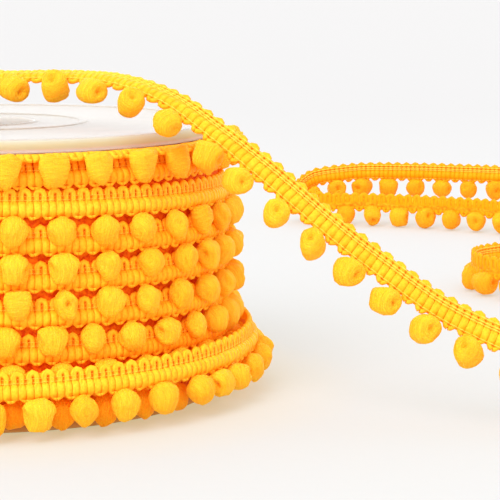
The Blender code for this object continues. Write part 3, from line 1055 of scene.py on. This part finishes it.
def wound_bobbles(name, place, at, size, shade, tooth_share, seed):
    """Bobbles of the wound turns, pressed against the roll and hanging over the next row."""
    centre, along, down, _ = braid_frames(place, at)
    flat = ease(place(at)[1], *FLAT_LEANS)
    hang = np.array([0, 0, -1.0]) + unit(centre * [1, 1, 0]) * HANG_OUT
    chance = np.random.default_rng(seed).random(len(at))
    teeth = (flat > FLAT_SHARE) | (chance < tooth_share)
    drop = np.where(teeth, TOOTH_DROP, BOBBLE_DROP) * (1 - flat) + FLAT_DROP * flat
    stand = BOBBLE_STAND + FLAT_STAND * flat
    sizes = size * np.where(teeth & (flat < FLAT_SHARE), TOOTH_SIZE, 1.0)
    hung = (centre + down * BOBBLE_ROOT, along, hang, drop, stand)
    return bobbles(name, PRESSED_BOBBLES, hung, sizes, shade, PRESSED_HABIT, seed, teeth)


INNER_SECTIONS = 748
INNER_LOOPS = (254, 254, 255)
INNER_BOBBLES = 249
BODY_LOOPS = 102

inner_ground = ground_strip(
    "inner_turns_ground", inner_turn_place, FLAT_TURN_START, LAST_TURN_END, INNER_SECTIONS
)
loop_step = TURN_STEP / LOOPS_PER_BOBBLE
upper_end = FLAT_TURN_START + INNER_LOOPS[0] * loop_step
middle_end = upper_end + INNER_LOOPS[1] * loop_step
inner_ends = (FLAT_TURN_START, upper_end, middle_end, LAST_TURN_END)
inner_upper, inner_middle, inner_lower = (
    loops(name, inner_turn_place, start, end, count, TIGHT_CELLS, INNER_LOOP_SHADE, seed)
    for name, start, end, count, seed in zip(
        ("inner_turns_upper_loops", "inner_turns_middle_loops", "inner_turns_lower_loops"),
        inner_ends,
        inner_ends[1:],
        INNER_LOOPS,
        (3, 5, 9),
    )
)
inner_end = FLAT_TURN_START + INNER_BOBBLES * TURN_STEP
inner_at = middles(FLAT_TURN_START, inner_end, INNER_BOBBLES)
inner_bobbles = wound_bobbles(
    "inner_turns_bobbles",
    inner_turn_place,
    strayed(inner_at, WOUND_STRAY),
    size=1.01,
    shade=level(inner_at, *INNER_BOBBLE_SHADE),
    tooth_share=0.04,
    seed=11,
)

outer_end = OUTER_START + OUTER_BOBBLES * OUTER_STEP
outer_span = (outer_turn_place, OUTER_START, outer_end, OUTER_BOBBLES * LOOPS_PER_BOBBLE)
outer_ground = ground_strip("outer_turn_ground", *outer_span)
outer_loops = loops("outer_turn_loops", *outer_span, TIGHT_CELLS, OUTER_LOOP_SHADE, seed=7)
outer_bobbles = wound_bobbles(
    "outer_turn_bobbles",
    outer_turn_place,
    strayed(middles(OUTER_START, outer_end, OUTER_BOBBLES), OUTER_STRAY),
    size=1.08,
    shade=0.15,
    tooth_share=0,
    seed=13,
)

loose_count = int(LOOSE_LENGTHS[-1] // BOBBLE_PITCH)
loose_end = loose_count * BOBBLE_PITCH
loose_span = (loose_end_place, 0, loose_end, loose_count * LOOPS_PER_BOBBLE)
loose_ground = ground_strip("loose_end_ground", *loose_span)
loose_loops = loops("loose_end_loops", *loose_span, SLACK_CELLS, LOOSE_LOOP_SHADE, seed=17)
loose_at = strayed(middles(0, loose_end, loose_count), LOOSE_STRAY)
centre, along, down, _ = braid_frames(loose_end_place, loose_at)
loose_drops, loose_stands = np.full(loose_count, LOOSE_DROP), np.zeros(loose_count)
loose_bobbles = bobbles(
    "loose_end_bobbles",
    ROUND_BOBBLES,
    (centre + down * BOBBLE_ROOT, along, down + LOOSE_HANG, loose_drops, loose_stands),
    size=level(loose_at, *LOOSE_BOBBLE_SIZE),
    shade=level(loose_at, *LOOSE_BOBBLE_SHADE),
    habit=HANGING_HABIT,
    seed=1306,
)
body_loops = loops(
    "wound_body_loops", body_turn_place, 0, 360, BODY_LOOPS, TIGHT_CELLS, BODY_LOOP_SHADE, seed=23
)


# ---- wound body and reel

# Radii and heights of the body's section, all of the winding under the turns that show.
BODY_SECTION = (
    (20.3, 49.9), (44.0, 49.9), (44.3, 47.3), (45.4, 46.0), (45.8, 40.0), (45.8, 12.0),
    (45.8, 6.0), (44.6, 3.0), (20.3, 2.8),
)
BODY_CORNER = 0.8
BODY_SIDES = 144
REEL_CORNER = 0.35
REEL_SIDES = 128
CORNER_STEPS = 3
# A corner takes less than half of each edge beside it: its length over this.
CORNER_SHARE = 2.2
SHARP_ANGLE = 35
# The flange's outer face is sunk within its rim, the hub's ring and the bore's lip, with bevels.
FACE_SUNK = 0.2
BEVEL = 0.4
RIM_INSIDE = 43.4
RING_INSIDE = 18.6
BORE_LIP = 0.8
HALVES_GAP = 0.15


def turned(name, section, sides, finish):
    """A closed section of radii and heights turned about the reel's axis."""
    radius, height = np.array(section, float).T
    rings = around(np.arange(sides)[:, None] * 360 / sides, radius, height)
    faces = grid_faces(sides, len(section), joined=True)
    obj = closed_piece(name, rings.reshape(-1, 3), faces, finish)
    obj.data.set_sharp_from_angle(angle=math.radians(SHARP_ANGLE))
    return obj


def rounded(corners, radius):
    """A closed outline with each corner rounded."""
    corners = np.array(corners, float)
    points = []
    for i, corner in enumerate(corners):
        before, after = corners[i - 1] - corner, corners[(i + 1) % len(corners)] - corner
        edges = [np.linalg.norm(edge) / CORNER_SHARE for edge in (before, after)]
        reach = min(radius, *edges)
        a, b = corner + unit(before) * reach, corner + unit(after) * reach
        for t in np.linspace(0, 1, CORNER_STEPS + 1):
            points.append((1 - t) ** 2 * a + 2 * t * (1 - t) * corner + t * t * b)
    return points


def reel_section():
    """One moulding: a flange with its raised rim, ring and lip, and half of the hub tube."""
    tube_top = REEL_HEIGHT / 2 - HALVES_GAP
    return [
        (HUB_RADIUS, tube_top),
        (HUB_RADIUS, FLANGE_THICKNESS),
        (FLANGE_RADIUS, FLANGE_THICKNESS),
        (FLANGE_RADIUS, 0),
        (RIM_INSIDE, 0),
        (RIM_INSIDE - BEVEL, FACE_SUNK),
        (HUB_RADIUS + BEVEL, FACE_SUNK),
        (HUB_RADIUS, 0),
        (RING_INSIDE, 0),
        (RING_INSIDE - BEVEL, FACE_SUNK),
        (BORE_RADIUS + BORE_LIP + BEVEL, FACE_SUNK),
        (BORE_RADIUS + BORE_LIP, 0),
        (BORE_RADIUS, 0),
        (BORE_RADIUS, FLANGE_THICKNESS),
        (HUB_RADIUS - HUB_WALL, FLANGE_THICKNESS),
        (HUB_RADIUS - HUB_WALL, tube_top),
    ]


wound_body = turned("wound_body", rounded(BODY_SECTION, BODY_CORNER), BODY_SIDES, WOUND)
bottom = rounded(reel_section(), REEL_CORNER)
top = [(radius, REEL_HEIGHT - height) for radius, height in bottom]
bottom_moulding = turned("reel_bottom_moulding", bottom, REEL_SIDES, PLASTIC)
top_moulding = turned("reel_top_moulding", top, REEL_SIDES, PLASTIC)


# ---- frame, stage, light and camera

for piece, slot_name, *nodes in (
    (inner_ground, "golden_yarn", "trim_inner_turns"),
    (inner_upper, "golden_yarn"),
    (inner_middle, "golden_yarn"),
    (inner_lower, "golden_yarn"),
    (inner_bobbles, "golden_yarn"),
    (outer_ground, "golden_yarn", "trim_outer_turn"),
    (outer_loops, "golden_yarn"),
    (outer_bobbles, "golden_yarn"),
    (loose_ground, "golden_yarn", "trim_loose_end"),
    (loose_loops, "golden_yarn"),
    (loose_bobbles, "golden_yarn"),
    (wound_body, "shaded_yarn", "trim_wound_form"),
    (body_loops, "golden_yarn"),
    (bottom_moulding, "clear_plastic", "reel_bottom_half"),
    (top_moulding, "clear_plastic", "reel_top_half"),
):
    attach(piece, "root")
    if nodes:
        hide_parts(*nodes)

# The stage, in metres, a hair under the trim's lowest fibres.
FLOOR_HALF = 6.0
FLOOR_LEVEL = -0.0001
floor_mesh = bpy.data.meshes.new("studio_floor")
corners = [(-1, -1), (1, -1), (1, 1), (-1, 1)]
corners = [(x * FLOOR_HALF, y * FLOOR_HALF, FLOOR_LEVEL) for x, y in corners]
floor_mesh.from_pydata(corners, [], [(0, 1, 2, 3)])
floor_mesh.materials.append(PAPER)
put_in_scene("studio_floor", floor_mesh)

# A bright sky fills the shadows, and a broad, soft key light comes from the left front.
SKY_COLOR = (0.97, 0.98, 1.0, 1)
SKY_STRENGTH = 1.3
KEY_COLOR = (1.0, 0.985, 0.96)
KEY_STRENGTH = 1.9
KEY_SPREAD = 35
KEY_FROM = (-0.45, -0.72, 0.6)
world = bpy.data.worlds.new("studio_world")
bpy.context.scene.world = world
world.use_nodes = True
sky = world.node_tree.nodes["Background"]
feed(world.node_tree, sky, {"Color": SKY_COLOR, "Strength": SKY_STRENGTH})

key = bpy.data.lights.new("key_light", "SUN")
key.energy = KEY_STRENGTH
key.angle = math.radians(KEY_SPREAD)
key.color = KEY_COLOR
put_in_scene("key_light", key).rotation_euler = (
    Vector(KEY_FROM).to_track_quat("Z", "Y").to_euler()
)

CAMERA_PLACE = np.array([0, -435.6, 87.6])
TURN_RIGHT = math.radians(6.85)
TILT_DOWN = math.radians(7.97)
SENSOR_WIDTH = 36.0
LENS = 159.1
VIEW_END = 50.0
camera_data = bpy.data.cameras.new("camera")
camera_data.sensor_width = SENSOR_WIDTH
camera_data.lens = LENS
camera_data.clip_end = VIEW_END
camera = put_in_scene("camera", camera_data)
camera.location = (CAMERA_PLACE + REEL_AXIS) * MM
camera.rotation_euler = (math.pi / 2 - TILT_DOWN, 0, -TURN_RIGHT)
bpy.context.scene.camera = camera
bpy.context.scene.view_settings.view_transform = "Standard"
